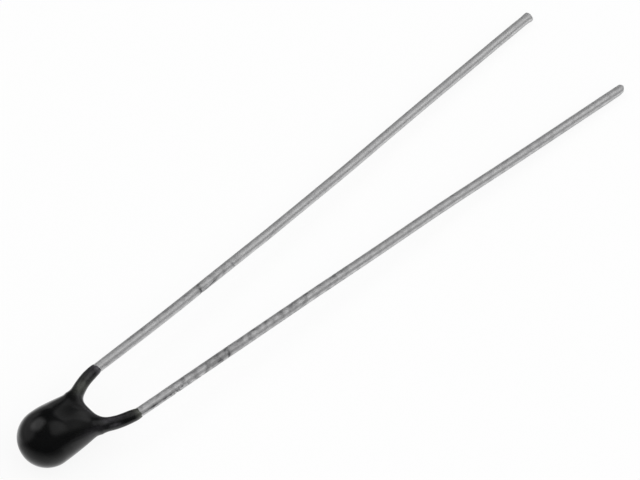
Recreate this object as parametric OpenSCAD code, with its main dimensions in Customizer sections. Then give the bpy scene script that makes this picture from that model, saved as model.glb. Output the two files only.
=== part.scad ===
// Bead thermistor: a ceramic chip between two tinned wire leads, dipped in black epoxy.
// Millimetres. It lies at rest on z = 0, the head at -x and the lead ends at +x.
// Each piece is drawn in the chip's own frame: x along the part, y from lead to lead.
// in_rest_pose() then lays the whole part down on its head and its two lead tips.

/* [Head] */
// Radius of the round end of the epoxy drop
head_r = 1.3; // [1.2:0.02:1.6]
// Half width of the drop where the two legs part
neck_half_w = 1.18; // [1.12:0.02:1.24]
// How far the round end sits off the middle of the two leads, toward the left one
drop_off = 0.14; // [0:0.02:0.2]
// From the middle of the round end to the crotch between the legs
crotch_x = 2.22; // [2.1:0.02:2.4]
// Radius of the round edge of the web in the crotch
web_edge_r = 0.38; // [0.34:0.01:0.42]

/* [Coated legs] */
// From the middle of the round end to the end of the coat on the leads
coat_end_x = 3.84; // [3.5:0.02:4.4]
// Coat left on the wire at the end of each leg
leg_end_coat = 0.04; // [0.02:0.01:0.08]
// Coat on the wire at the crotch
leg_root_coat = 0.09; // [0.08:0.01:0.16]

/* [Chip] */
// Side of the square ceramic chip
chip_side = 1.2; // [1:0.05:1.3]
// Thickness of the chip between its electrodes
chip_t = 0.5; // [0.4:0.05:0.6]
// From the middle of the round end to the middle of the chip
chip_x = 0.45; // [0.3:0.05:0.55]
// Thickness of each fired silver electrode
electrode_t = 0.03; // [0.02:0.005:0.05]
// Bare ceramic left round each electrode
electrode_margin = 0.05; // [0.02:0.01:0.1]

/* [Solder] */
// Solder between the wire and the electrode
solder_film = 0.03; // [0.02:0.005:0.05]
// Solder over the top of the wire
solder_over = 0.05; // [0.03:0.01:0.08]
// Radius of the solder fillet beside the wire
solder_fillet_r = 0.2; // [0.15:0.01:0.25]
// Solder length along the wire
solder_len = 1; // [0.8:0.05:1]

/* [Leads] */
// Diameter of the tinned wire
wire_d = 0.45; // [0.4:0.01:0.5]
// Distance between the leads where they leave the coat
pitch = 2.92; // [2.86:0.02:3.1]
// Angle at which the wires spread inside the head
spread_deg = 34.5; // [32:0.5:36]
// Bend radius beside the chip
spread_r = 0.9; // [0.8:0.05:1.1]
// Bend radius where the wires turn back inside the legs
return_r = 3.4; // [3:0.1:3.6]
// Straight wire between the chip's edge and the first bend
bend_rise = 0.29; // [0.2:0.01:0.4]
// Length of the left lead from the coat to its tip
left_len = 28; // [24:0.1:32]
// How much longer the right lead was cut than the left one
right_extra = 0.2; // [0:0.05:0.6]
// Outward lean of the left lead as it leaves the coat
left_splay_deg = 2.4; // [1:0.1:3]
// Outward lean of the right lead as it leaves the coat
right_splay_deg = 1.9; // [1:0.1:3]
// Gentle outward bow of the left lead, from handling
left_bow_deg = 2.4; // [1.8:0.1:4]
// Slight bends that make up the left lead's bow
left_bow_bends = 3; // [1:1:3]
// Straight wire from the last bend in the left leg to the bow
left_bow_start = 4.5; // [2:0.1:6]
// Gentle outward bow of the right lead
right_bow_deg = 0.6; // [0.6:0.1:4]
// Slight bends that make up the right lead's bow
right_bow_bends = 1; // [1:1:1]
// Straight wire from the last bend in the right leg to the bow
right_bow_start = 9.5; // [7:0.1:11]
// Straight wire after each slight bend of a bow
bow_step = 5; // [3:0.1:6]
// Radius of each slight bend of a bow
bow_bend_r = 30; // [20:1:40]
// Lean of the cut across the left lead's tip
left_cut_deg = 6; // [0:1:30]
// Lean of the cut across the right lead's tip
right_cut_deg = -14; // [-30:1:0]

/* [Hidden] */
$fn = 64;
right_len = left_len + right_extra;
wire_r = wire_d / 2;
half_pitch = pitch / 2;
// faces of the stack that the wires are soldered to
electrode_face = chip_t / 2 + electrode_t;
wire_y = electrode_face + solder_film + wire_r;
// ends of the chip, of the solder on it and of the wires in the solder
chip_low_x = chip_x - chip_side / 2;
chip_high_x = chip_x + chip_side / 2;
electrode_side = chip_side - 2 * electrode_margin;
solder_low_x = chip_x - solder_len / 2;
wire_low_x = solder_low_x + solder_over;
// where each wire's first bend starts and ends
bend_x = chip_high_x + bend_rise;
bend_end_x = bend_x + spread_r * sin(spread_deg);
bend_end_y = wire_y + spread_r * (1 - cos(spread_deg));
// the drop keeps its full width up to here, and the legs show from here on
neck_start_x = 0.3;
leg_root_x = crotch_x - 0.4;
// seen from the side the drop is a ball, a cone on it and the small round edge of the web
web_edge_x = crotch_x - web_edge_r;
cone_deg = asin((head_r - web_edge_r) / web_edge_x);
// a wire is this much thinner where it is bent, and its straight runs lap over the bends
bend_thinning = 0.002;
join_lap = 0.02;
// facets: rays in a half section, and sections round the nose, the drop and the legs
ray_n = 28;
nose_n = 11;
drop_n = 14;
leg_n = 16;
// cutters reach this far past what they cut
past = 1;

// The wire's middle line inside the coat, as a function of x.
// A straight lap on the chip, a bend out, a slant, and a wide bend back to the splay.
function slant_len(splay) =
    (half_pitch - bend_end_y - return_r * (cos(splay) - cos(spread_deg))) / sin(spread_deg);
function return_x(splay) = bend_end_x + slant_len(splay) * cos(spread_deg);
function return_y(splay) = bend_end_y + slant_len(splay) * sin(spread_deg);
function return_end_x(splay) = return_x(splay) + return_r * (sin(spread_deg) - sin(splay));
function wire_heading(x, splay) =
    x < bend_x ? 0
    : x < bend_end_x ? asin((x - bend_x) / spread_r)
    : x < return_x(splay) ? spread_deg
    : x < return_end_x(splay) ? asin(sin(spread_deg) - (x - return_x(splay)) / return_r)
    : splay;
function wire_mid(x, splay) =
    x < bend_x ? wire_y
    : x < bend_end_x ? wire_y + spread_r * (1 - cos(wire_heading(x, splay)))
    : x < return_x(splay) ? bend_end_y + (x - bend_end_x) * tan(spread_deg)
    : x < return_end_x(splay)
        ? return_y(splay) + return_r * (cos(wire_heading(x, splay)) - cos(spread_deg))
    : half_pitch + (x - return_end_x(splay)) * tan(splay);

// Each lead beyond its last bend in the leg: a straight start, the bow, a straight tip.
// A bow is n slight bends with straight wire after each. The lead's length is counted
// from the end of the coat.
function tip_run(len, splay, bow, start, n) =
    len - (return_end_x(splay) - coat_end_x) / cos(splay) - start - n * bow_step
    - bow_bend_r * bow * PI / 180;
function tip_at(len, splay, bow, start, n) =
    let(turns = [for (k = [1:n]) splay + bow * k / n],
        steps = [for (turn = turns) bow_step * [cos(turn), sin(turn)]],
        ones = [for (turn = turns) 1])
    [return_end_x(splay), half_pitch]
    + start * [cos(splay), sin(splay)]
    + bow_bend_r * [sin(splay + bow) - sin(splay), cos(splay) - cos(splay + bow)]
    + ones * steps
    + tip_run(len, splay, bow, start, n) * [cos(splay + bow), sin(splay + bow)];
left_tip = tip_at(left_len, left_splay_deg, left_bow_deg, left_bow_start, left_bow_bends);
right_tip = tip_at(right_len, right_splay_deg, right_bow_deg, right_bow_start,
                   right_bow_bends);
far_x = max(left_tip.x, right_tip.x);

// At rest the part lies on its head and on its lead tips, so it leans by this much.
rest_tilt = asin((head_r - wire_r) / far_x);
mid_x = (far_x * cos(rest_tilt) - head_r) / 2;
mid_y = (left_tip.y - right_tip.y) / 2;

// The epoxy skin is the surface where z * z equals thick2(), the square of the coat's
// half thickness. In a section across x it is a smooth blend of three parabolas in y,
// for the drop and for the two legs. Each is [top, curve, middle, flat], where flat is
// the half width that keeps the top's height. The last value of a section is its blend.
function ease(t) = t <= 0 ? 0 : t >= 1 ? 1 : t * t * (3 - 2 * t);
function drop_top(x) =
    x < head_r * sin(cone_deg) ? head_r * head_r - x * x
    : x < web_edge_x + web_edge_r * sin(cone_deg)
        ? pow((head_r - x * sin(cone_deg)) / cos(cone_deg), 2)
    : web_edge_r * web_edge_r - pow(x - web_edge_x, 2);
function drop_half_w(x) =
    head_r + (neck_half_w - head_r)
    * pow(max(0, x - neck_start_x) / (crotch_x - neck_start_x), 1.5);
function drop_lobe(x) =
    let(top = drop_top(x), side_r = sqrt(max(top, web_edge_r * web_edge_r)))
    [top, 1, drop_off * (1 - ease(x / crotch_x) / 2),
     x < 0 ? 0 : max(0, drop_half_w(x) - side_r)];
function leg_r(x) =
    wire_r + leg_end_coat + (leg_root_coat - leg_end_coat)
    * pow(max(0, (coat_end_x - x) / (coat_end_x - crotch_x)), 1.2);
function leg_lobe(x, side) =
    let(splay = side > 0 ? left_splay_deg : right_splay_deg,
        u = max(0, leg_root_x + 0.15 - x))
    [pow(leg_r(max(x, leg_root_x)), 2) - (u < 0.3 ? u * u / 0.6 : u - 0.15),
     pow(cos(wire_heading(x, splay)), 2),
     side * wire_mid(x, splay),
     0];
// the blend is rounder where the legs leave the drop
function blend_at(x) = 0.05 + 0.06 * ease((x - 1.1) / 0.7) * ease((3.2 - x) / 0.8);
function lobes(x) = [drop_lobe(x), leg_lobe(x, 1), leg_lobe(x, -1), blend_at(x)];
function thick2(section, y) =
    let(v = [for (i = [0:2]) let(lobe = section[i])
             lobe[0] - lobe[1] * pow(max(0, abs(y - lobe[2]) - lobe[3]), 2)],
        top = max(v), blend = section[3])
    top + blend * ln(exp((v[0] - top) / blend) + exp((v[1] - top) / blend)
        + exp((v[2] - top) / blend));

// Each section is two halves that meet on y = 0, one for each leg. A half is a fan of
// rays. Its centre starts in the drop and ends in the leg, and past the crotch the fan
// goes all the way round the leg.
function fan_y(x, side) = abs(leg_lobe(x, side)[2]) * ease(x / crotch_x);
// distance along a ray to the skin, by halving
function ray_len(section, side, mid, turn, low, high, n) =
    n == 0 ? (low + high) / 2
    : let(r = (low + high) / 2)
        thick2(section, side * (mid + r * cos(turn))) > pow(r * sin(turn), 2)
        ? ray_len(section, side, mid, turn, r, high, n - 1)
        : ray_len(section, side, mid, turn, low, r, n - 1);
function half_section(x, side) =
    let(section = lobes(x), seam = thick2(section, 0), joined = x < web_x,
        mid = fan_y(x, side), edge = joined ? atan2(sqrt(seam), -mid) : 180)
    [for (j = [0:ray_n])
        let(turn = edge * (1 - 2 * j / ray_n),
            reach = cos(turn) < -0.001 ? min(2 * head_r, -mid / cos(turn)) : 2 * head_r,
            r = ray_len(section, side, mid, turn, 0, reach, 24))
        joined && j == 0 ? [x, 0, sqrt(seam)]
        : joined && j == ray_n ? [x, 0, -sqrt(seam)]
        : [x, side * (mid + r * cos(turn)), r * sin(turn)]];
// where the web between the legs ends, by halving
function web_end(low, high, n) =
    n == 0 ? (low + high) / 2
    : let(x = (low + high) / 2)
        thick2(lobes(x), 0) > 0 ? web_end(x, high, n - 1) : web_end(low, x, n - 1);
web_x = web_end(crotch_x / 2, coat_end_x, 30);

module coat_skin() {
    // stations round the nose by equal angles, then along the drop and along the legs
    nose_x = [for (i = [1:nose_n]) -head_r * cos(90 * i / nose_n)];
    drop_x = [for (i = [1:drop_n]) web_x * (1 - pow(1 - i / drop_n, 1.8))];
    leg_x = [for (i = [1:leg_n]) web_x + (coat_end_x - web_x) * pow(i / leg_n, 1.7)];
    stations = concat(nose_x, drop_x, leg_x);
    // sections up to web_n are one ring, section web_n is two rings that share one point
    web_n = nose_n + drop_n - 1;
    last = len(stations) - 1;
    loop = 2 * ray_n;
    // joined ring: left half from top to bottom, then right half from bottom to top
    joined_points = [for (i = [0:web_n - 1])
        let(left = half_section(stations[i], 1), right = half_section(stations[i], -1))
        each concat(left, [for (j = [ray_n - 1:-1:1]) right[j]])];
    // at the web's end both halves start at the crotch point
    split_points = [for (i = [web_n:last])
        let(left = half_section(stations[i], 1), right = half_section(stations[i], -1))
        each concat([for (j = [0:ray_n - 1]) left[j]], [for (j = [1:ray_n]) right[j]])];
    points = concat(joined_points, split_points, [[-head_r, drop_off, 0]]);
    nose = len(points) - 1;
    function at(i, side, j) =
        i < web_n ? i * loop + (side > 0 ? j : (loop - j) % loop)
        : i == web_n && (j == 0 || j == ray_n) ? i * loop
        : side > 0 ? i * loop + j % ray_n
        : i * loop + ray_n + (j + ray_n - 1) % ray_n;
    function wall(a, b, c, side) = side > 0 ? [a, b, c] : [a, c, b];
    nose_faces = [for (side = [1, -1], j = [0:ray_n - 1])
        wall(nose, at(0, side, j), at(0, side, j + 1), side)];
    side_faces = [for (i = [0:last - 1], side = [1, -1], j = [0:ray_n - 1])
        each [wall(at(i, side, j), at(i + 1, side, j), at(i + 1, side, j + 1), side),
              wall(at(i, side, j), at(i + 1, side, j + 1), at(i, side, j + 1), side)]];
    end_faces = [for (side = [1, -1])
        [for (k = [1:ray_n]) at(last, side, side > 0 ? k : ray_n - k)]];
    polyhedron(points, concat(nose_faces, side_faces, end_faces));
}

// Straight wire drawn from where the pen stands, along x, with what follows at its far
// end. It laps a little over the bends before and after it, so that they join soundly.
module run(length, from = -join_lap) {
    translate([from, 0, 0]) rotate([0, 90, 0])
        cylinder(h = length + join_lap - from, r = wire_r);
    translate([length, 0, 0]) children();
}

// Wire bent toward +y by a positive angle, or toward -y by a negative one
module bend(radius, angle) {
    side = angle > 0 ? 1 : -1;
    mirror([0, side > 0 ? 0 : 1, 0])
        translate([0, radius, 0]) rotate([0, 0, -90])
            rotate_extrude(angle = abs(angle)) translate([radius, 0])
                circle(wire_r - bend_thinning);
    translate([0, side * radius, 0]) rotate([0, 0, angle]) translate([0, -side * radius, 0])
        children();
}

// A bow of n slight bends, with what follows at its far end
module bow(angle, n) {
    if (n > 0) {
        bend(bow_bend_r, angle) run(bow_step) bow(angle, n - 1) children();
    } else {
        children();
    }
}

// The last run of wire, cut off across its middle line at a lean
module cut_tip(length, cut) {
    difference() {
        run(length + wire_r);
        translate([length, 0, 0]) rotate([0, 0, cut]) translate([0, -past, -past])
            cube(2 * past);
    }
}

module lead(length, splay, bow_deg, bow_start, bow_bends, cut) {
    translate([wire_low_x, wire_y, 0])
        run(bend_x - wire_low_x, 0) bend(spread_r, spread_deg)
            run(slant_len(splay)) bend(return_r, splay - spread_deg)
                run(bow_start) bow(bow_deg / bow_bends, bow_bends)
                    cut_tip(tip_run(length, splay, bow_deg, bow_start, bow_bends), cut);
}

module in_rest_pose() {
    translate([-mid_x, -mid_y, head_r]) rotate([0, rest_tilt, 0]) children();
}

module left_wire() {
    lead(left_len, left_splay_deg, left_bow_deg, left_bow_start, left_bow_bends,
         left_cut_deg);
}

module right_wire() {
    mirror([0, 1, 0])
        lead(right_len, right_splay_deg, right_bow_deg, right_bow_start, right_bow_bends,
             right_cut_deg);
}

module chip() {
    translate([chip_low_x, -chip_t / 2, -chip_side / 2])
        cube([chip_side, chip_t, chip_side]);
}

module electrode(side) {
    translate([chip_x - electrode_side / 2, side > 0 ? chip_t / 2 : -electrode_face,
               -electrode_side / 2])
        cube([electrode_side, electrode_t, electrode_side]);
}

// Solder wraps the wire and spreads on the electrode in a hollow fillet on each side.
module solder(side) {
    wrap_r = wire_r + solder_over;
    wrap_y = solder_film + wire_r;
    foot = sqrt(pow(wrap_r + solder_fillet_r, 2) - pow(solder_fillet_r - wrap_y, 2));
    mirror([0, side > 0 ? 0 : 1, 0]) difference() {
        translate([solder_low_x, electrode_face, 0]) rotate([90, 0, 90])
            linear_extrude(solder_len) {
                intersection() {
                    translate([wrap_y, 0]) circle(wrap_r);
                    translate([0, -past]) square([past, 2 * past]);
                }
                difference() {
                    polygon([[0, -foot], [solder_fillet_r, -foot], [wrap_y, 0],
                             [solder_fillet_r, foot], [0, foot]]);
                    for (z = [-foot, foot]) translate([solder_fillet_r, z])
                        circle(solder_fillet_r);
                }
            }
        translate([wire_low_x, wire_y, 0]) run(bend_x - wire_low_x, 0);
    }
}

module epoxy_coat() {
    color("#17191b") in_rest_pose() difference() {
        coat_skin();
        chip();
        electrode(1);
        electrode(-1);
        solder(1);
        solder(-1);
        left_wire();
        right_wire();
    }
}

module ceramic_chip() {
    color("#3c3a38") in_rest_pose() chip();
}

module left_electrode() {
    color("#d9d9d6") in_rest_pose() electrode(1);
}

module right_electrode() {
    color("#d9d9d6") in_rest_pose() electrode(-1);
}

module left_solder() {
    color("#9fa2a5") in_rest_pose() solder(1);
}

module right_solder() {
    color("#9fa2a5") in_rest_pose() solder(-1);
}

module left_lead() {
    color("#b4b4b2") in_rest_pose() left_wire();
}

module right_lead() {
    color("#b4b4b2") in_rest_pose() right_wire();
}

epoxy_coat();
ceramic_chip();
left_electrode();
right_electrode();
left_solder();
right_solder();
left_lead();
right_lead();
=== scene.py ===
"""Bead thermistor: a bead dipped in black epoxy, with two bare tinned wire leads.

The coat and the two leads are remade in finer form on the solids' sizes. Only here does
the web's top rise, by up to 0.09 mm, and do the leads drift, by up to 0.045 mm sideways.
The pieces inside the coat keep their own meshes and get better finishes.
Lengths in the shape code are millimetres in the chip's own frame, as in the CAD source.
"""

import math

import bpy
import numpy as np
from mathutils import Matrix, Vector


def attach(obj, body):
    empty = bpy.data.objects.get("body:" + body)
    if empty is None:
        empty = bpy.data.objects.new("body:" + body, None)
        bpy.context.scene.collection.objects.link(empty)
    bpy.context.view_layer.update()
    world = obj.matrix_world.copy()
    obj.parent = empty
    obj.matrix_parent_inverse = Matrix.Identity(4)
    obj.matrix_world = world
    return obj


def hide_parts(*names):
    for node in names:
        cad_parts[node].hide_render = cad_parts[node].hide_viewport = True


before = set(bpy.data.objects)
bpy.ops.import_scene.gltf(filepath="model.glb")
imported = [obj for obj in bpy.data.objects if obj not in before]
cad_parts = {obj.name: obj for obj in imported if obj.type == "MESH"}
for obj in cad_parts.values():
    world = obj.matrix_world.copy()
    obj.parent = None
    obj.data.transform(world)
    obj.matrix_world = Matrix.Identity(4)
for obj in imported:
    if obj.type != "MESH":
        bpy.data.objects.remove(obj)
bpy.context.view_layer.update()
scene = bpy.context.scene
MM = 0.001

# Sizes, as in the solids

HEAD_R, NECK_HALF_W, DROP_OFF = 1.3, 1.18, 0.14
CROTCH_X, EDGE_R, NECK_START_X = 2.22, 0.38, 0.3
EDGE_X, LEG_ROOT_X = CROTCH_X - EDGE_R, CROTCH_X - 0.4
CONE = math.asin((HEAD_R - EDGE_R) / EDGE_X)  # slope of the drop between head and web
COAT_END_X, LEG_END_COAT, LEG_ROOT_COAT = 3.84, 0.04, 0.09
WIRE_R, PITCH = 0.225, 2.92
CHIP_X, CHIP_SIDE, CHIP_T, ELECTRODE_T = 0.45, 1.2, 0.5, 0.03
SOLDER_FILM, SOLDER_LEN, SOLDER_OVER, BEND_RISE = 0.03, 1.0, 0.05, 0.29
WIRE_Y = CHIP_T / 2 + ELECTRODE_T + SOLDER_FILM + WIRE_R
WIRE_LOW_X = CHIP_X - SOLDER_LEN / 2 + SOLDER_OVER
SPREAD, SPREAD_R, RETURN_R = math.radians(34.5), 0.9, 3.4
BEND_X = CHIP_X + CHIP_SIDE / 2 + BEND_RISE
BEND_END_X = BEND_X + SPREAD_R * math.sin(SPREAD)
BEND_END_Y = WIRE_Y + SPREAD_R * (1 - math.cos(SPREAD))
BOW_STEP, BOW_BEND_R = 5.0, 30.0


class Lead:
    """One wire's middle line: side is 1 for the left lead and -1 for the right one."""

    def __init__(self, side, length, splay_deg, bow_deg, bow_start, bow_bends):
        self.side = side
        self.splay = math.radians(splay_deg)
        bow = math.radians(bow_deg)
        self.slant = (PITCH / 2 - BEND_END_Y
                      - RETURN_R * (math.cos(self.splay) - math.cos(SPREAD))) / math.sin(SPREAD)
        self.return_x = BEND_END_X + self.slant * math.cos(SPREAD)
        self.return_y = BEND_END_Y + self.slant * math.sin(SPREAD)
        self.return_end_x = self.return_x + RETURN_R * (math.sin(SPREAD) - math.sin(self.splay))
        self.tip_run = (length - (self.return_end_x - COAT_END_X) / math.cos(self.splay)
                        - bow_start - bow_bends * BOW_STEP - BOW_BEND_R * bow)
        # straight runs (length, 0) and bends (radius, angle), from the chip to the tip
        self.parts = [(BEND_X - WIRE_LOW_X, 0), (SPREAD_R, SPREAD), (self.slant, 0),
                      (RETURN_R, self.splay - SPREAD), (bow_start, 0)]
        for _ in range(bow_bends):
            self.parts += [(BOW_BEND_R, bow / bow_bends), (BOW_STEP, 0)]
        self.parts += [(self.tip_run, 0)]

    def heading(self, x):
        x = np.asarray(x, float)
        h = np.full(x.shape, self.splay)
        back = np.arcsin(np.clip(math.sin(SPREAD) - (x - self.return_x) / RETURN_R, -1, 1))
        h = np.where(x < self.return_end_x, back, h)
        h = np.where(x < self.return_x, SPREAD, h)
        h = np.where(x < BEND_END_X, np.arcsin(np.clip((x - BEND_X) / SPREAD_R, -1, 1)), h)
        return np.where(x < BEND_X, 0.0, h)

    def mid(self, x):
        """Distance of the middle line from y = 0 at x, inside the coat."""
        x = np.asarray(x, float)
        h = self.heading(x)
        y = PITCH / 2 + (x - self.return_end_x) * math.tan(self.splay)
        y = np.where(x < self.return_end_x,
                     self.return_y + RETURN_R * (np.cos(h) - math.cos(SPREAD)), y)
        y = np.where(x < self.return_x, BEND_END_Y + (x - BEND_END_X) * math.tan(SPREAD), y)
        y = np.where(x < BEND_END_X, WIRE_Y + SPREAD_R * (1 - np.cos(h)), y)
        return np.where(x < BEND_X, WIRE_Y, y)

    def walk(self, step):
        """Points along the middle line, every step or less: arc length, x, y, heading."""
        out, s, x, y, h = [], 0.0, WIRE_LOW_X, WIRE_Y, 0.0
        for size, turn in self.parts:
            length = size if turn == 0 else size * abs(turn)
            n = max(1, math.ceil(length / step))
            for i in range(n):
                f = i / n
                if turn == 0:
                    out.append((s + f * length, x + f * size * math.cos(h),
                                y + f * size * math.sin(h), h))
                else:
                    g, w = h + f * turn, math.copysign(size, turn)
                    out.append((s + f * length, x + w * (math.sin(g) - math.sin(h)),
                                y + w * (math.cos(h) - math.cos(g)), g))
            if turn == 0:
                x, y = x + size * math.cos(h), y + size * math.sin(h)
            else:
                g, w = h + turn, math.copysign(size, turn)
                x, y = x + w * (math.sin(g) - math.sin(h)), y + w * (math.cos(h) - math.cos(g))
                h = g
            s += length
        out.append((s, x, y, h))
        path = np.array(out)
        path[:, 2:] *= self.side
        return path


left = Lead(1, length=28.0, splay_deg=2.4, bow_deg=2.4, bow_start=4.5, bow_bends=3)
right = Lead(-1, length=28.2, splay_deg=1.9, bow_deg=0.6, bow_start=9.5, bow_bends=1)

# the part lies on its head and on its lead tips
left_tip, right_tip = left.walk(0.5)[-1], right.walk(0.5)[-1]
FAR_X = max(left_tip[1], right_tip[1])
TILT = math.asin((HEAD_R - WIRE_R) / FAR_X)
MID_X = (FAR_X * math.cos(TILT) - HEAD_R) / 2
MID_Y = (left_tip[2] + right_tip[2]) / 2


def in_rest_pose(points):
    """Chip frame in mm to row frame in m."""
    x, y, z = np.asarray(points, float).T
    c, s = math.cos(TILT), math.sin(TILT)
    return np.stack([x * c + z * s - MID_X, y - MID_Y, -x * s + z * c + HEAD_R], 1) * MM


# Mesh helpers


def add_mesh(name, points, faces, material):
    mesh = bpy.data.meshes.new(name)
    mesh.from_pydata(np.asarray(points).tolist(), [], [list(map(int, f)) for f in faces])
    mesh.validate()
    mesh.update()
    mesh.shade_smooth()
    obj = bpy.data.objects.new(name, mesh)
    scene.collection.objects.link(obj)
    obj.data.materials.append(material)
    return obj


def ease(t):
    """From 0 at t = 0 to 1 at t = 1, level at both ends."""
    t = np.clip(t, 0, 1)
    return t * t * (3 - 2 * t)


def waves(points, size, n, seed):
    """Smooth noise in about -1 to 1: a sum of n plane waves of about the given size."""
    rng = np.random.default_rng(seed)
    total = np.zeros(len(points))
    for _ in range(n):
        d = rng.normal(size=3)
        d *= 2 * math.pi / (size * rng.uniform(0.7, 1.5)) / np.linalg.norm(d)
        total += np.sin(points @ d + rng.uniform(0, 2 * math.pi))
    return total / math.sqrt(n)


# The shape of the dipped coat

LIP = 0.32  # length over which the coat thins out to the wire at the end of each leg
SHORT = {1: 0.01, -1: 0.12}  # how far the left and the right leg end short of COAT_END_X
CORE_R = WIRE_R - 0.02  # past the lip the skin closes inside the wire
ROOT_BLEND = 0.3  # length over which each leg's root sinks into the drop


def lip_x(lead, across, z):
    """Where the coat ends, round the wire: it runs a little further on the -y side."""
    turn = np.arctan2(z, across)
    end = COAT_END_X - SHORT[lead.side]
    if lead.side > 0:
        return (end - 0.05 * np.cos(turn - 0.5) + 0.025 * np.sin(3 * turn + 1.0)
                + 0.015 * np.sin(5 * turn))
    return (end - 0.05 * np.cos(turn + 0.2) + 0.03 * np.sin(2 * turn - 0.6)
            + 0.02 * np.sin(5 * turn + 2))


def leg_top(lead, x, across, z):
    """A leg's radius squared, with the lip at its end."""
    along = np.clip((COAT_END_X - x) / (COAT_END_X - CROTCH_X), 0, None)
    r = WIRE_R + LEG_END_COAT + (LEG_ROOT_COAT - LEG_END_COAT) * along ** 1.2
    u = (lip_x(lead, across, z) - x) / LIP
    lip = CORE_R + (r - CORE_R) * np.sqrt(np.clip(1 - (1 - np.clip(u, 0, 1)) ** 2, 0, None))
    past_lip = CORE_R * CORE_R + 2.5 * u * LIP
    return np.where(u > 1, r * r, np.where(u > 0, lip * lip, past_lip))


def root_fade(x):
    """How much a leg has sunk into the drop behind its root."""
    u = np.clip(LEG_ROOT_X + ROOT_BLEND / 2 - x, 0, None)
    return np.where(u < ROOT_BLEND, u * u / (2 * ROOT_BLEND), u - ROOT_BLEND / 2)


def coat_field(x, y, z):
    """Positive inside the epoxy: a smooth blend of the drop's lobe and the two legs'."""
    # half height squared: a ball, a cone and the small round edge of the web
    line = (HEAD_R - x * math.sin(CONE)) / math.cos(CONE)
    top = np.where(x < HEAD_R * math.sin(CONE), HEAD_R ** 2 - x * x,
                   np.where(x < EDGE_X + EDGE_R * math.sin(CONE), line * line,
                            EDGE_R ** 2 - (x - EDGE_X) ** 2))
    half_w = HEAD_R + (NECK_HALF_W - HEAD_R) * np.clip(
        (x - NECK_START_X) / (CROTCH_X - NECK_START_X), 0, None) ** 1.5
    flat = np.where(x < 0, 0, np.maximum(0, half_w - np.sqrt(np.maximum(top, EDGE_R ** 2))))
    aside = np.abs(y - DROP_OFF * (1 - 0.5 * ease(x / CROTCH_X)))
    lobes = [top - np.maximum(0, aside - flat) ** 2]
    root = np.maximum(x, LEG_ROOT_X)
    for lead in (left, right):
        across = (y - lead.side * lead.mid(x)) * np.cos(lead.heading(x))
        lobes.append(leg_top(lead, root, across, z) - root_fade(x) - across ** 2)
    # the blend is rounder where the legs leave the drop
    k = 0.05 + 0.06 * ease((x - 1.1) / 0.7) * ease((3.2 - x) / 0.8)
    best = np.maximum(np.maximum(lobes[0], lobes[1]), lobes[2])
    total = sum(np.exp((lobe - best) / k) for lobe in lobes)
    return best + k * np.log(total) - z * z


def field_slope(field, p, eps=2e-4):
    """The field's gradient at the points p."""
    g = np.empty_like(p)
    for i in range(3):
        d = np.zeros(3)
        d[i] = eps
        g[:, i] = (field(*(p + d).T) - field(*(p - d).T)) / (2 * eps)
    return g


def skin_of(field, low, high, step):
    """A mesh of quads on field = 0, with one point in each grid cell that the skin crosses."""
    axes = [np.arange(a, b + step, step) for a, b in zip(low, high)]
    f = np.concatenate([field(x[:, None, None], axes[1][None, :, None], axes[2][None, None, :])
                        for x in np.array_split(axes[0], 8)])
    inside = f > 0
    shape = tuple(n - 1 for n in f.shape)
    total, count = np.zeros(shape + (3,)), np.zeros(shape, int)
    quads = []
    cell = np.arange(np.prod(shape)).reshape(shape)
    for axis in range(3):
        a, b = (axis + 1) % 3, (axis + 2) % 3
        first = [slice(None)] * 3
        first[axis] = slice(0, -1)
        second = [slice(None)] * 3
        second[axis] = slice(1, None)
        f0, f1 = f[tuple(first)], f[tuple(second)]
        at = np.argwhere(inside[tuple(first)] != inside[tuple(second)])
        i, j, k = at.T
        v0, v1 = f0[i, j, k], f1[i, j, k]
        point = np.stack([axes[n][at[:, n]] for n in range(3)], 1)
        point[:, axis] += step * v0 / (v0 - v1)
        corners = []
        for da, db in ((-1, -1), (0, -1), (0, 0), (-1, 0)):
            c = at.copy()
            c[:, a] += da
            c[:, b] += db
            np.add.at(total, tuple(c.T), point)
            np.add.at(count, tuple(c.T), 1)
            corners.append(cell[tuple(c.T)])
        quad = np.stack(corners, 1)
        flip = v0 < 0
        quad[flip] = quad[flip][:, ::-1]
        quads.append(quad)
    used = count.ravel() > 0
    number = np.cumsum(used) - 1
    points = total.reshape(-1, 3)[used] / count.ravel()[used][:, None]
    return points, number[np.concatenate(quads)]


def settle_on(field, points, quads, step, rounds):
    """Evens out the points along the skin and pulls them exactly onto it."""
    pairs = np.concatenate([quads[:, [i, (i + 1) % 4]] for i in range(4)])
    pairs = np.concatenate([pairs, pairs[:, ::-1]])
    n = np.bincount(pairs[:, 0], minlength=len(points))[:, None]

    def pull(p, times):
        for _ in range(times):
            g = field_slope(field, p)
            move = -field(*p.T)[:, None] * g / np.maximum((g * g).sum(1), 1e-6)[:, None]
            size = np.linalg.norm(move, axis=1, keepdims=True)
            p = p + move * np.minimum(1, 0.5 * step / np.maximum(size, 1e-9))
        return p

    points = pull(points, 3)
    for _ in range(rounds):
        near = np.stack([np.bincount(pairs[:, 0], points[pairs[:, 1], i], len(points))
                         for i in range(3)], 1) / n
        g = field_slope(field, points)
        g /= np.maximum(np.linalg.norm(g, axis=1, keepdims=True), 1e-9)
        d = near - points
        d -= g * (d * g).sum(1, keepdims=True)
        points = pull(points + 0.6 * d, 1)
    return pull(points, 2)


# Finishes


def new_material(name, base, roughness, metallic=0.0):
    """A material with its node tree and its main shader."""
    mat = bpy.data.materials.new(name)
    mat.use_nodes = True
    tree = mat.node_tree
    bsdf = tree.nodes["Principled BSDF"]
    bsdf.inputs["Base Color"].default_value = (*base, 1)
    bsdf.inputs["Roughness"].default_value = roughness
    bsdf.inputs["Metallic"].default_value = metallic
    return mat, tree, bsdf


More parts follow.
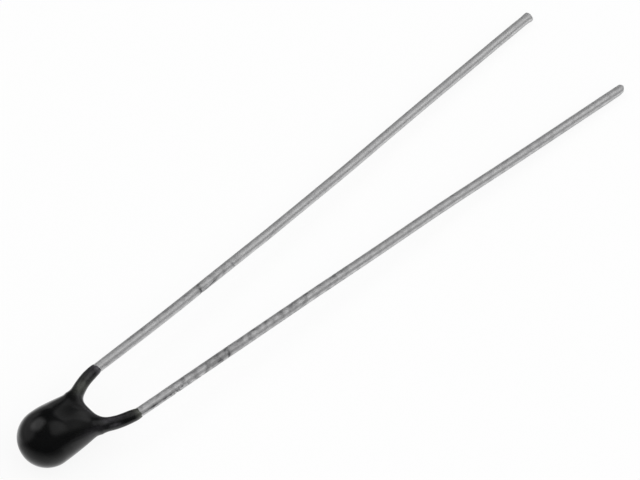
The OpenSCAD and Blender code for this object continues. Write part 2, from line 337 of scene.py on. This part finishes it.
class Nodes:
    """Short names for the nodes that every finish uses."""

    def __init__(self, tree):
        self.tree = tree

    def add(self, kind, **values):
        node = self.tree.nodes.new(kind)
        for key, value in values.items():
            setattr(node, key, value)
        return node

    def link(self, a, b):
        self.tree.links.new(a, b)

    def place(self):
        return self.add("ShaderNodeTexCoord").outputs["Object"]

    def attribute(self, name, output):
        return self.add("ShaderNodeAttribute", attribute_name=name).outputs[output]

    def scaled(self, vector, scale):
        node = self.add("ShaderNodeMapping")
        self.link(vector, node.inputs["Vector"])
        node.inputs["Scale"].default_value = scale
        return node.outputs["Vector"]

    def noise(self, vector, scale, detail=3.0, rough=0.5, distortion=0.0):
        node = self.add("ShaderNodeTexNoise")
        self.link(vector, node.inputs["Vector"])
        node.inputs["Scale"].default_value = scale
        node.inputs["Detail"].default_value = detail
        node.inputs["Roughness"].default_value = rough
        node.inputs["Distortion"].default_value = distortion
        return node.outputs["Fac"]

    def cells(self, vector, scale):
        node = self.add("ShaderNodeTexVoronoi")
        self.link(vector, node.inputs["Vector"])
        node.inputs["Scale"].default_value = scale
        return node.outputs["Distance"]

    def ramp(self, value, stops):
        node = self.add("ShaderNodeValToRGB")
        self.link(value, node.inputs["Fac"])
        ramp = node.color_ramp
        while len(ramp.elements) < len(stops):
            ramp.elements.new(0.5)
        for element, (at, colour) in zip(ramp.elements, stops):
            element.position = at
            element.color = (*colour, 1)
        return node.outputs["Color"]

    def greys(self, value, stops):
        return self.ramp(value, [(at, (grey, grey, grey)) for at, grey in stops])

    def span(self, value, a, b, low, high):
        """From low at a to high at b, and level past both."""
        node = self.add("ShaderNodeMapRange")
        self.link(value, node.inputs["Value"])
        for key, number in (("From Min", a), ("From Max", b), ("To Min", low), ("To Max", high)):
            node.inputs[key].default_value = number
        return node.outputs["Result"]

    def maths(self, operation, a, b=0):
        node = self.add("ShaderNodeMath", operation=operation)
        for socket, value in zip(node.inputs, (a, b)):
            if isinstance(value, (int, float)):
                socket.default_value = value
            else:
                self.link(value, socket)
        return node.outputs["Value"]

    def mixed(self, factor, a, b):
        node = self.add("ShaderNodeMix", data_type="RGBA")
        self.link(factor, node.inputs["Factor"])
        for key, value in (("A", a), ("B", b)):
            socket = [s for s in node.inputs if s.name == key and s.type == "RGBA"][0]
            if isinstance(value, tuple):
                socket.default_value = (*value, 1)
            else:
                self.link(value, socket)
        return [s for s in node.outputs if s.type == "RGBA"][0]

    def bump(self, height, strength, distance, normal=None):
        node = self.add("ShaderNodeBump")
        node.inputs["Strength"].default_value = strength
        node.inputs["Distance"].default_value = distance
        self.link(height, node.inputs["Height"])
        if normal is not None:
            self.link(normal, node.inputs["Normal"])
        return node.outputs["Normal"]


def epoxy_finish():
    mat, tree, bsdf = new_material("black_epoxy", (0.003, 0.0032, 0.0034), 0.16)
    bsdf.inputs["Specular IOR Level"].default_value = 0.42
    n = Nodes(tree)
    at = n.place()
    tone = n.noise(at, 900, 4, 0.6)
    black = n.ramp(tone, [(0.35, (0.0014, 0.0015, 0.0017)), (0.7, (0.0034, 0.0036, 0.0036))])
    # where the coat thins it is a little see-through, and paler; the same pale colour is painted
    # on as highlights and reflections
    thin_and_sheen = n.attribute("thin_and_sheen", "Fac")
    ragged = n.span(n.noise(at, 7000, 4, 0.6), 0.35, 0.65, 0.55, 1.0)
    here = n.add("ShaderNodeSeparateXYZ")
    n.link(at, here.inputs[0])
    # the pale colour, for the thinned coat and the painted highlights, is greenish on the left
    # leg's root and the right leg's end, else a purplish grey. Places are metres in the row frame.
    on_left = n.span(here.outputs["Y"], -0.0005, 0.0005, 0, 1)
    at_end = n.span(here.outputs["X"], -0.0125, -0.0118, 0, 1)
    both = n.maths("MULTIPLY", n.maths("MULTIPLY", on_left, at_end), 2)
    greenish = n.maths("SUBTRACT", n.maths("ADD", on_left, at_end), both)
    pale = n.mixed(greenish, (0.086, 0.082, 0.092), (0.085, 0.088, 0.078))
    n.link(n.mixed(n.maths("MULTIPLY", thin_and_sheen, ragged), black, pale), bsdf.inputs["Base Color"])
    n.link(n.span(n.noise(at, 1600, 3, 0.5), 0.3, 0.7, 0.13, 0.2), bsdf.inputs["Roughness"])
    peel = n.bump(n.noise(at, 2600, 2, 0.5), 0.1, 0.00002)
    specks = n.span(n.cells(at, 2600), 0.0, 0.1, 1.0, 0.0)
    n.link(n.bump(specks, 0.25, 0.00001, peel), bsdf.inputs["Normal"])
    return mat


def wire_finish():
    mat, tree, bsdf = new_material("tinned_wire", (0.76, 0.76, 0.755), 0.42, 0.82)
    n = Nodes(tree)
    # along the wire in mm from its tip, and round it as cosine and sine
    at = n.attribute("wire", "Vector")
    streaks = n.noise(n.scaled(at, (0.6, 5, 5)), 1.0, 4, 0.6)
    grain = n.noise(n.scaled(at, (11, 2.6, 2.6)), 1.0, 4, 0.65)
    blotches = n.noise(n.scaled(at, (2.3, 1.1, 1.1)), 1.0, 3, 0.6, 0.6)
    patches = n.noise(n.scaled(at, (0.5, 0.5, 0.5)), 1.0, 2, 0.5)
    tone = n.maths("ADD", n.maths("ADD", n.maths("MULTIPLY", streaks, 0.2),
                                  n.maths("MULTIPLY", blotches, 0.32)),
                   n.maths("ADD", n.maths("MULTIPLY", grain, 0.26),
                           n.maths("MULTIPLY", patches, 0.22)))
    tin = n.ramp(tone, [(0.4, (0.55, 0.55, 0.555)), (0.5, (0.745, 0.745, 0.75)),
                        (0.6, (0.87, 0.87, 0.875))])
    # dulled and scuffed places from handling, a dark line by the coat, and painted shade: faint
    # dark streaks along the upper side
    wear_and_shade = n.attribute("wear_and_shade", "Fac")
    ragged = n.span(n.maths("ADD", grain, blotches), 0.8, 1.2, 1.3, 0.7)
    wear_and_shade = n.maths("MINIMUM", n.maths("MULTIPLY", wear_and_shade, ragged), 1.0)
    n.link(n.mixed(wear_and_shade, tin, (0.12, 0.12, 0.125)), bsdf.inputs["Base Color"])
    n.link(n.maths("ADD", n.span(tone, 0.36, 0.64, 0.45, 0.29), n.maths("MULTIPLY", wear_and_shade, 0.15)),
           bsdf.inputs["Roughness"])
    n.link(n.span(tone, 0.38, 0.6, 0.6, 0.79), bsdf.inputs["Metallic"])
    drawn = n.bump(streaks, 0.15, 0.000008)
    n.link(n.bump(grain, 0.2, 0.00001, drawn), bsdf.inputs["Normal"])
    return mat


def plain_finish(name, dark, light, roughness, metallic, scale):
    """A fine even grain between two colours."""
    mat, tree, bsdf = new_material(name, light, roughness, metallic)
    n = Nodes(tree)
    at = n.place()
    grain = n.noise(at, scale, 5, 0.6)
    n.link(n.ramp(grain, [(0.35, dark), (0.65, light)]), bsdf.inputs["Base Color"])
    n.link(n.span(grain, 0.3, 0.7, roughness + 0.08, roughness - 0.08),
           bsdf.inputs["Roughness"])
    n.link(n.bump(grain, 0.3, 0.00001), bsdf.inputs["Normal"])
    return mat


epoxy = epoxy_finish()
wire = wire_finish()

# Camera

# A pinhole camera looks down at 56 degrees and is turned by 41.92 degrees. The middle of
# the round head is 125 mm deep in the view, at HEAD_PX in a picture of 640 x 480 pixels.
FOCAL_PX, DEPTH, HEAD_PX = 2944.0, 125.0, (47.35, 437.45)
PICTURE_W, PICTURE_H, SENSOR_W = 640, 480, 36
ELEVATION, TURN = math.radians(56), math.radians(-41.92)
camera_turn = Matrix.Rotation(TURN, 3, "Z")
view_right = camera_turn @ Vector((1, 0, 0))
view_in = camera_turn @ Vector((0, math.cos(ELEVATION), -math.sin(ELEVATION)))
view_up = camera_turn @ Vector((0, math.sin(ELEVATION), math.cos(ELEVATION)))
head = Vector(in_rest_pose([(0, DROP_OFF, 0)])[0])
eye = head - DEPTH * MM * (view_in + view_right * ((HEAD_PX[0] - PICTURE_W / 2) / FOCAL_PX)
                           + view_up * ((PICTURE_H / 2 - HEAD_PX[1]) / FOCAL_PX))
camera_data = bpy.data.cameras.new("camera")
camera_data.sensor_width = SENSOR_W
camera_data.lens = FOCAL_PX / PICTURE_W * SENSOR_W
camera_data.clip_start, camera_data.clip_end = 0.005, 20
camera = bpy.data.objects.new("camera", camera_data)
scene.collection.objects.link(camera)
camera.matrix_world = Matrix.Translation(eye) @ Matrix(
    (view_right, view_up, -view_in)).transposed().to_4x4()
scene.camera = camera

# The coat

STEP, ROUNDS = 0.03, 8
SKIN_LOW, SKIN_HIGH = (-1.38, -1.95, -1.38), (4.08, 1.95, 1.38)  # a box round the coat
DROP_SWELL, LEG_SWELL, WEB_RISE = 0.006, 0.005, 0.09
# pale spots painted on as highlights and reflections: x, y, heading, half length, half width, how
# pale
PAINTED_HIGHLIGHT_SPOTS = ((2.6, 1.04, 22, 0.4, 0.2, 0.9), (3.15, 1.26, 14, 0.45, 0.2, 0.42),
              (2.42, -1.03, -15, 0.3, 0.13, 0.65), (3.1, -1.06, -5, 0.4, 0.1, 0.3),
              (2.72, -1.18, -18, 0.45, 0.11, 0.5), (3.2, -1.33, -10, 0.35, 0.1, 0.38),
              (1.55, -1.1, -4, 0.65, 0.14, 0.2), (2.07, -0.3, -72, 0.28, 0.1, 0.26),
              (2.17, -0.62, -50, 0.25, 0.1, 0.3), (2.02, 0.1, 90, 0.25, 0.09, 0.18),
              (2.5, -1.37, -22, 0.25, 0.06, 0.5), (3.55, -1.42, -4, 0.3, 0.14, 0.35),
              (3.6, 1.46, 6, 0.3, 0.12, 0.4))
points, quads = skin_of(coat_field, SKIN_LOW, SKIN_HIGH, STEP)
points = settle_on(coat_field, points, quads, STEP, ROUNDS)
slope = field_slope(coat_field, points)
slope /= np.maximum(np.linalg.norm(slope, axis=1, keepdims=True), 1e-9)
# a dip coat isn't perfectly even: low swells on the legs, hardly any on the drop
on_legs = ease((points[:, 0] - 1.9) / 0.9)
on_lip = ease((points[:, 0] - (COAT_END_X - 0.25)) / 0.15)
swell = (-np.abs(waves(points, 1.6, 7, 11)) * DROP_SWELL
         + waves(points, 0.8, 7, 5) * LEG_SWELL * on_legs)
# the top of the web rises a little between the head and the crotch
rise = np.exp(-((points[:, 0] - 1.55) / 0.55) ** 2 - ((points[:, 1] + 0.1) / 0.5) ** 2)
swell += WEB_RISE * rise * ease(points[:, 2] / 0.25)
points -= slope * (swell * (1 - on_lip))[:, None]
coat = add_mesh("dipped_coat", in_rest_pose(points), quads, epoxy)
# paler where the coat thins toward the lips; painted highlights and reflections as pale spots on
# the legs and over the edges of the web
coat_ends = COAT_END_X + np.where(points[:, 1] > 0, -0.02, -0.12)
thin_and_sheen = ease((points[:, 0] - (coat_ends - 0.42)) / 0.4) ** 1.2
for x, y, heading, length, width, share in PAINTED_HIGHLIGHT_SPOTS:
    c, s = math.cos(math.radians(heading)), math.sin(math.radians(heading))
    dx, dy = points[:, 0] - x, points[:, 1] - y
    spot = np.exp(-((dx * c + dy * s) / length) ** 2 - ((dy * c - dx * s) / width) ** 2)
    thin_and_sheen = np.maximum(thin_and_sheen, share * spot * (points[:, 2] > 0))
layer = coat.data.attributes.new("thin_and_sheen", "FLOAT", "POINT")
layer.data.foreach_set("value", thin_and_sheen.astype(np.float32))
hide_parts("epoxy_coat")
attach(coat, "root")


# The leads

EDGE_ON = math.radians(-116.6)  # from the top to the side where a cut's place is 1
CORNER = 0.035  # rounding of the cut ends
WIRE_SIDES, WIRE_STEP = 48, 0.035
FLAT_REACH = 1.2  # how far round the wire, in radians, a pressed flat place can reach
END_THINNER, TIN = 0.0022, 0.003  # off the radius at the ends, and back on along the wire
SCRATCH = (0.008, 0.05, 38)  # depth, half width and half angle of a fine scratch
# where each wire, bent a little by hand, leaves its even curve: middle, half length, sideways
DRIFTS = {"left_wire": ((-25.0, 2.2, -0.016), (-8.6, 4.2, 0.024), (0.0, 1.7, -0.022)),
          "right_wire": ((-11.0, 3.2, 0.044), (-3.5, 5.5, 0.009))}


def lead_mesh(name, lead, sides, step, shape, wear_and_shade, end):
    """A tube round the lead's middle line. shape(s, turn) gives each point's radius and
    wear(s, turn) how dulled it is, with painted shade, for s from the tip back and turn from
    the top. end(a) is how far the cut tip reaches at a, the place across it from -1 to 1."""
    path = lead.walk(step)
    path[:, 0] -= path[-1, 0]
    for at, half_len, amount in DRIFTS[name]:
        path[:, 2] += amount * np.exp(-((path[:, 0] - at) / half_len) ** 2)
    turn = np.arange(sides) * 2 * math.pi / sides
    s, x, y, h = path.T
    near_tip = np.clip(s + 0.5, 0, None) / 0.5
    rings = [(s, x, y, h, np.ones_like(s), np.full_like(s, CORNER), near_tip)]
    # the rounded corner of the cut and its flat face
    lean = np.radians([22, 45, 68, 90, 90, 90])
    size = 1 - CORNER / WIRE_R * (1 - np.cos(lean))
    size[4:] = 0.55, 0.25
    back = CORNER * (1 - np.sin(lean))
    one = np.ones(len(lean))
    rings.append((0 * one, x[-1] * one, y[-1] * one, h[-1] * one, size, back, one))
    s, x, y, h, size, back, near_tip = (np.concatenate(v)[:, None] for v in zip(*rings))
    r = shape(s, turn[None, :]) * size
    reach = (end(size * np.cos(turn - EDGE_ON)) - back) * near_tip
    across = r * np.sin(turn)
    ring = np.stack([x - across * np.sin(h) + reach * np.cos(h),
                     y + across * np.cos(h) + reach * np.sin(h),
                     r * np.cos(turn) + 0 * x], 2).reshape(-1, 3)
    n = len(s)
    points = np.concatenate([ring, [[x[0, 0], y[0, 0], 0]], [ring[-sides:].mean(0)]])
    i, j = np.meshgrid(np.arange(n - 1), np.arange(sides), indexing="ij")
    a, b = i * sides + j, i * sides + (j + 1) % sides
    faces = np.stack([a, a + sides, b + sides, b], -1).reshape(-1, 4).tolist()
    k = np.arange(sides)
    faces += [[n * sides, a, b] for a, b in zip(k, (k + 1) % sides)]
    last = (n - 1) * sides
    faces += [[n * sides + 1, last + b, last + a] for a, b in zip(k, (k + 1) % sides)]
    obj = add_mesh(name, in_rest_pose(points), faces, wire)
    # for the finish: mm from the tip, the cosine and sine of the turn, and how dulled it is, with
    # painted shade
    where = np.zeros((len(points), 3), np.float32)
    where[:-2, 0] = np.repeat(s.ravel(), sides)
    where[:-2, 1] = (size * np.cos(turn)).ravel()
    where[:-2, 2] = (size * np.sin(turn)).ravel()
    where[-2, 0] = s[0, 0]
    layer = obj.data.attributes.new("wire", "FLOAT_VECTOR", "POINT")
    layer.data.foreach_set("vector", where.ravel())
    dull_and_shade = np.zeros(len(points), np.float32)
    dull_and_shade[:-2] = np.broadcast_to(wear_and_shade(s, turn[None, :]), (n, sides)).ravel()
    layer = obj.data.attributes.new("wear_and_shade", "FLOAT", "POINT")
    layer.data.foreach_set("value", dull_and_shade)
    return obj


def on_wire(s, turn):
    """Places on the wire's surface in mm, for noise."""
    s, turn = np.broadcast_arrays(s, turn)
    return np.stack([s, WIRE_R * np.cos(turn), WIRE_R * np.sin(turn)], -1).reshape(-1, 3)


def wavy(s, turn, size, n, seed):
    return waves(on_wire(s, turn), size, n, seed).reshape(np.broadcast_shapes(s.shape, turn.shape))


def away_from(turn, facing):
    """How far round the wire it is from facing, in radians."""
    return (turn - math.radians(facing) + math.pi) % (2 * math.pi) - math.pi


def hump(s, turn, at, facing, half_len, half_angle, slant=0.0):
    """1 at one place on the wire and 0 away from it. A slant turns it into a scratch."""
    away = away_from(turn, facing)
    along = (s - at - slant * WIRE_R * away) / half_len
    return np.exp(-along ** 2 - (away / math.radians(half_angle)) ** 2)


def pressed_flat(r, s, turn, at, facing, half_len, depth):
    """The wire pressed flat on one side, as by pliers."""
    away = np.clip(away_from(turn, facing), -FLAT_REACH, FLAT_REACH)
    level = WIRE_R - depth * ease(1.5 - np.abs(s - at) / half_len)
    return np.where(np.abs(away) < FLAT_REACH, np.minimum(r, level / np.cos(away)), r)


def added(value, s, turn, places):
    """The value with humps added: how much, then the place and size of each, as in hump."""
    for amount, *place in places:
        value = value + amount * hump(s, turn, *place)
    return value


def scratched(r, s, turn, scratches):
    """The radius with fine scratches: where, facing, slant."""
    depth, half_len, half_angle = SCRATCH
    return added(r, s, turn, [(-depth, at, facing, half_len, half_angle, slant)
                              for at, facing, slant in scratches])


def handled(s, turn, seed):
    """The wire's radius with the slight unevenness of its tin, a little less at both ends."""
    bare = ease(s + 27.5) * ease(-2 * s - 1)
    return (WIRE_R - END_THINNER + TIN * bare + 0.0012 * wavy(s, turn, 1.1, 8, seed)
            + 0.0006 * wavy(s, turn, 0.3, 8, seed + 1))


def left_shape(s, turn):
    r = handled(s, turn, 21)
    r = pressed_flat(r, s, turn, -21.6, -70, 0.6, 0.011)
    r = pressed_flat(r, s, turn, -20.2, -15, 0.3, 0.008)
    worn = hump(s, turn, -21.6, -50, 1.0, 75) + 0.7 * hump(s, turn, -20.1, -30, 0.6, 70)
    r = r - 0.0028 * worn * (1 + 0.7 * wavy(s, turn, 0.13, 10, 23))
    r = added(r, s, turn, ((-0.03, -22.0, -90, 0.055, 50, 0.1),
                           (-0.012, -21.35, -75, 0.12, 28, 3.5),
                           (-0.012, -20.1, -40, 0.05, 45, -0.3)))
    r = scratched(r, s, turn, ((-22.9, -60, 1.2), (-22.5, -75, 0.9), (-20.7, -50, 1.4),
                               (-19.6, -80, 0.8), (-17.7, -60, 2.2), (-12.4, -90, 1.0),
                               (-7.3, -15, 1.3)))
    # the cutter spread the tip a little on one side
    return added(r, s, turn, ((0.042, 0, -100, 0.2, 48), (0.004, 0, -20, 0.2, 40),
                              (0.018, -0.05, 50, 0.2, 30), (-0.004, 0, 90, 1.0, 60)))


def right_shape(s, turn):
    r = handled(s, turn, 31)
    r = pressed_flat(r, s, turn, -24.05, -45, 0.38, 0.014)
    r = pressed_flat(r, s, turn, -25.7, -95, 0.5, 0.009)
    worn = hump(s, turn, -25.7, -80, 0.5, 60) + 0.8 * hump(s, turn, -24.0, -50, 0.5, 70)
    r = r - 0.003 * worn * (1 + 0.8 * wavy(s, turn, 0.12, 10, 33))
    r = added(r, s, turn, ((-0.03, -26.4, -105, 0.06, 40, -0.3),
                           (-0.014, -23.45, -70, 0.06, 45, 0.3)))
    return scratched(r, s, turn, ((-26.3, -95, 1.0), (-25.7, -70, 1.3), (-24.9, -90, 0.8),
                                  (-24.0, -40, 1.4), (-23.7, -60, 1.1), (-19.4, -65, 1.8),
                                  (-9.6, -100, 0.9)))


def left_wear_and_shade(s, turn):
    rough = np.clip(0.6 + 0.8 * wavy(s, turn, 0.35, 10, 41), 0, 2)
    dull_and_shade = 0.05 * rough + 0.16 * rough * hump(s, turn, -21.4, -50, 1.5, 90)
    # two faint dark streaks along the upper side are painted shade; four lines and a patch by the
    # coat
    return added(dull_and_shade, s, turn, ((0.34, -24.5, 14, 5.5, 17), (0.31, -14.5, 26, 16, 22),
                                 (1.0, -22.05, -58, 0.085, 65, 0.1),
                                 (0.8, -21.35, -70, 0.2, 30, 3.5),
                                 (0.5, -20.1, -40, 0.05, 45, -0.3),
                                 (0.45, -17.7, -60, 0.1, 42, 2.2),
                                 (0.2, -27.2, -60, 1.0, 16)))


def right_wear_and_shade(s, turn):
    rough = np.clip(0.6 + 0.8 * wavy(s, turn, 0.35, 10, 51), 0, 2)
    specks = np.clip(1.5 * wavy(s, turn, 0.13, 10, 52) - 0.6, 0, 1)
    # a narrow dark line runs on along the lower side from the coat's end
    dark_line = 0.78 * hump(s, turn, -27.5, -62, 1.7, 14) * ease((-26.1 - s) / 0.4)
    dull_and_shade = dark_line + 0.1 * rough + 0.12 * rough * ease((s + 26.9) / 0.8) * ease((-15 - s) / 3)
    dull_and_shade = dull_and_shade + specks * hump(s, turn, -26.2, -75, 0.45, 50)
    # two faint dark streaks along the upper side are painted shade; a patch and two lines
    return added(dull_and_shade, s, turn, ((0.28, -24.5, 14, 7.5, 17), (0.36, -12.5, 27, 17, 22),
                                 (0.45, -24.0, -50, 0.55, 55),
                                 (0.7, -23.5, -58, 0.07, 60, 0.3),
                                 (0.4, -19.4, -65, 0.1, 42, 1.8)))


def left_end(a):
    """How far the cut reaches across the left tip."""
    return np.interp(a, [-1, -0.6, 0.85, 1], [-0.07, -0.04, -0.03, -0.06])


def right_end(a):
    """How far the cut reaches across the right tip."""
    return np.interp(a, [-1, -0.25, 0.8, 1], [-0.06, 0, -0.13, -0.32])


for name, lead, shape, wear_and_shade, end in (("left_wire", left, left_shape, left_wear_and_shade, left_end),
                                     ("right_wire", right, right_shape, right_wear_and_shade, right_end)):
    obj = lead_mesh(name, lead, WIRE_SIDES, WIRE_STEP, shape, wear_and_shade, end)
    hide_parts(name.replace("wire", "lead"))
    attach(obj, "root")

# Pieces inside the coat

inside = {
    "ceramic_chip": plain_finish("sintered_ceramic", (0.03, 0.028, 0.027),
                                 (0.065, 0.06, 0.057), 0.6, 0.0, 9000),
    "left_electrode": plain_finish("fired_silver", (0.62, 0.61, 0.58),
                                   (0.78, 0.77, 0.74), 0.45, 1.0, 12000),
    "left_solder": plain_finish("solder", (0.36, 0.37, 0.38), (0.52, 0.53, 0.54),
                                0.38, 1.0, 5000),
}
inside["right_electrode"] = inside["left_electrode"]
inside["right_solder"] = inside["left_solder"]
for name, mat in inside.items():
    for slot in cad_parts[name].material_slots:
        slot.material = mat

# Floor and light

FLOOR_HALF = 1.2
floor_mesh = bpy.data.meshes.new("floor")
floor_mesh.from_pydata([(x * FLOOR_HALF, y * FLOOR_HALF, 0)
                        for x, y in ((-1, -1), (1, -1), (1, 1), (-1, 1))], [], [(0, 1, 2, 3)])
floor = bpy.data.objects.new("floor", floor_mesh)
scene.collection.objects.link(floor)
floor_mat, tree, bsdf = new_material("white_floor", (0.9, 0.9, 0.9), 0.9)
n = Nodes(tree)
glow = n.add("ShaderNodeEmission")
glow.inputs["Color"].default_value = (1, 1, 1, 1)
mix = n.add("ShaderNodeMixShader")
rays = n.add("ShaderNodeLightPath")
# a pool of light painted on the floor for gloss only: gloss sees the floor brightest close to
# the drop, on its flanks. Lengths are metres from the middle of the head, and the ramps' places
# are shares of GLOW_REACH. GLOW_SHARE of the floor is the glow and the rest is plain,
# with the part's shadow.
GLOW_REACH, GLOW_TOP, GLOW_SHARE, MIDDLE = 0.0125, 1.1, 0.88, 0.0009
here = n.add("ShaderNodeSeparateXYZ")
n.link(n.place(), here.inputs[0])
along = n.maths("SUBTRACT", here.outputs["X"], head.x)
across = n.maths("SUBTRACT", here.outputs["Y"], head.y)
past_middle = n.maths("SUBTRACT", along, MIDDLE)
past_middle = n.maths("MINIMUM", n.maths("MULTIPLY", past_middle, 0.6),
                      n.maths("MULTIPLY", past_middle, 0.42))
away = n.maths("SQRT", n.maths("ADD", n.maths("MULTIPLY", past_middle, past_middle),
                               n.maths("MULTIPLY", across, across)))
away = n.maths("MULTIPLY", away, 1 / GLOW_REACH)
by_nose = n.greys(away, [(0.1, GLOW_TOP), (0.14, 0.85), (0.2, 0.5), (0.33, 0.3), (0.5, 0.18),
                         (0.95, 0.06)])
by_left = n.greys(away, [(0.1, GLOW_TOP), (0.28, GLOW_TOP), (0.36, 0.85), (0.5, 0.48),
                         (0.9, 0.24)])
by_right = n.greys(away, [(0.1, GLOW_TOP), (0.2, 0.7), (0.33, 0.38), (0.5, 0.22), (0.95, 0.05)])
by_right = n.maths("MULTIPLY", by_right, n.span(along, 0.0008, 0.0026, 1, 2.6))
by_right = n.maths("MINIMUM", GLOW_TOP, by_right)
glint = n.mixed(n.span(n.maths("ADD", across, n.maths("MULTIPLY", along, 0.5)),
                       0.0004, 0.002, 0, 1), by_nose, by_left)
glint = n.mixed(n.span(n.maths("SUBTRACT", n.maths("MULTIPLY", along, 0.5), across),
                       0.0008, 0.0025, 0, 1), glint, by_right)
# painted light for gloss: beside the leads it is brighter on their right than on their left
left_line = n.maths("ADD", n.maths("MULTIPLY", along, 0.062), 0.00115)
right_line = n.maths("ADD", n.maths("MULTIPLY", along, 0.038), 0.00155)
from_left = n.maths("SUBTRACT", across, left_line)
from_right = n.maths("ADD", across, right_line)
between = n.maths("MULTIPLY", n.span(from_left, 0.0003, -0.0003, 0, 1),
                  n.span(from_right, 0.0006, 0.0018, 0, 1))
beside = n.maths("MAXIMUM", between, n.span(from_right, 0.0003, -0.0003, 0, 1))
beside = n.maths("MULTIPLY", n.mixed(beside, (0.16,) * 3, (0.6,) * 3),
                 n.span(from_right, -0.003, -0.008, 1, 0.25))
# and a painted shadow right under them, for gloss
nearest = n.maths("MINIMUM", n.maths("ABSOLUTE", from_left), n.maths("ABSOLUTE", from_right))
beside = n.maths("MULTIPLY", beside, n.span(nearest, 0.0002, 0.0009, 0.6, 1))
seen_by_gloss = n.mixed(n.span(along, 0.0034, 0.005, 0, 1), glint, beside)
n.link(n.maths("ADD", rays.outputs["Is Camera Ray"],
               n.maths("MULTIPLY", rays.outputs["Is Glossy Ray"], seen_by_gloss)),
       glow.inputs["Strength"])
seen = n.maths("MAXIMUM", rays.outputs["Is Camera Ray"], rays.outputs["Is Glossy Ray"])
n.link(n.maths("MULTIPLY", seen, GLOW_SHARE), mix.inputs["Fac"])
n.link(bsdf.outputs["BSDF"], mix.inputs[1])
n.link(glow.outputs["Emission"], mix.inputs[2])
n.link(mix.outputs["Shader"], tree.nodes["Material Output"].inputs["Surface"])
floor_mesh.materials.append(floor_mat)

# azimuth, elevation, half width, half height, softness of the edge, radiance
PANELS = [(141, 50, 23, 21, 0.5, 0.93), (170, 22, 28, 26, 0.4, 0.38),
          (128, 8, 17, 13, 0.5, 0.3), (50, 9, 20, 15, 0.7, 0.46),
          (32, 38, 30, 22, 0.5, 0.13), (17, 56, 26, 20, 0.5, 0.4)]
DIM, FILL, FILL_FROM_FRONT, FRONT = 0.05, 0.55, 0.6, (-26, 15)
world = bpy.data.worlds.new("studio")
scene.world = world
world.use_nodes = True
n = Nodes(world.node_tree)
shade = world.node_tree.nodes["Background"]
rays = n.add("ShaderNodeLightPath")
# white behind the part, a wide fill from the front right, and a dim room with soft panels
# for gloss to show
direction = n.add("ShaderNodeTexCoord").outputs["Generated"]


def dotted(vector, way):
    node = n.add("ShaderNodeVectorMath", operation="DOT_PRODUCT")
    n.link(vector, node.inputs[0])
    node.inputs[1].default_value = way
    return node.outputs["Value"]


def toward(azimuth, elevation):
    """A direction: azimuth from camera right, towards the back, and height, in degrees."""
    a, e = math.radians(azimuth) + TURN, math.radians(elevation)
    return Vector((math.cos(e) * math.cos(a), math.cos(e) * math.sin(a), math.sin(e)))


def panel(azimuth, elevation, width, height, blur, radiance):
    """A soft-edged panel in the sky. Width and height are half angles in degrees."""
    way = toward(azimuth, elevation)
    aside = Vector((0, 0, 1)).cross(way).normalized()
    above = way.cross(aside)
    depth = n.maths("MAXIMUM", dotted(direction, way), 0.05)
    u = n.maths("DIVIDE", dotted(direction, aside / math.tan(math.radians(width))), depth)
    v = n.maths("DIVIDE", dotted(direction, above / math.tan(math.radians(height))), depth)
    # a rounded rectangle: far is 1 on its edge
    far = n.maths("POWER", n.maths("ADD", n.maths("POWER", n.maths("ABSOLUTE", u), 3),
                                   n.maths("POWER", n.maths("ABSOLUTE", v), 3)), 1 / 3)
    edge = n.add("ShaderNodeMapRange", interpolation_type="SMOOTHSTEP")
    n.link(far, edge.inputs["Value"])
    for key, value in (("From Min", 1 - blur), ("From Max", 1 + blur), ("To Min", radiance),
                       ("To Max", 0)):
        edge.inputs[key].default_value = value
    return edge.outputs["Result"]


panels = 0.0
for values in PANELS:
    panels = n.maths("ADD", panel(*values), panels)
from_front = n.maths("MULTIPLY", dotted(direction, toward(*FRONT)), FILL_FROM_FRONT)
from_front = n.maths("MAXIMUM", n.maths("ADD", from_front, FILL), DIM)
not_gloss = n.maths("SUBTRACT", 1, rays.outputs["Is Glossy Ray"])
room = n.maths("MAXIMUM", DIM, n.maths("MULTIPLY", from_front, not_gloss))
n.link(n.maths("MAXIMUM", rays.outputs["Is Camera Ray"], n.maths("ADD", room, panels)),
       shade.inputs["Strength"])
shade.inputs["Color"].default_value = (1, 1, 1, 1)


def soft_box(name, azimuth, elevation, distance, size, radiance):
    """A round lamp that looks at the part. Gloss shows the panels in its place."""
    data = bpy.data.lights.new(name, "AREA")
    data.shape = "DISK"
    data.size = size
    # a disc of that radiance shines with pi times its area
    data.energy = radiance * math.pi * math.pi * size * size / 4
    lamp = bpy.data.objects.new(name, data)
    scene.collection.objects.link(lamp)
    way = toward(azimuth, elevation)
    lamp.matrix_world = (Matrix.Translation(way * distance)
                         @ way.to_track_quat("Z", "Y").to_matrix().to_4x4())
    lamp.visible_glossy = False


soft_box("soft_box_left", 142, 50, 0.5, 0.3, 0.8)
soft_box("soft_box_right", -12, 50, 0.5, 0.42, 0.75)

scene.view_settings.view_transform = "Standard"
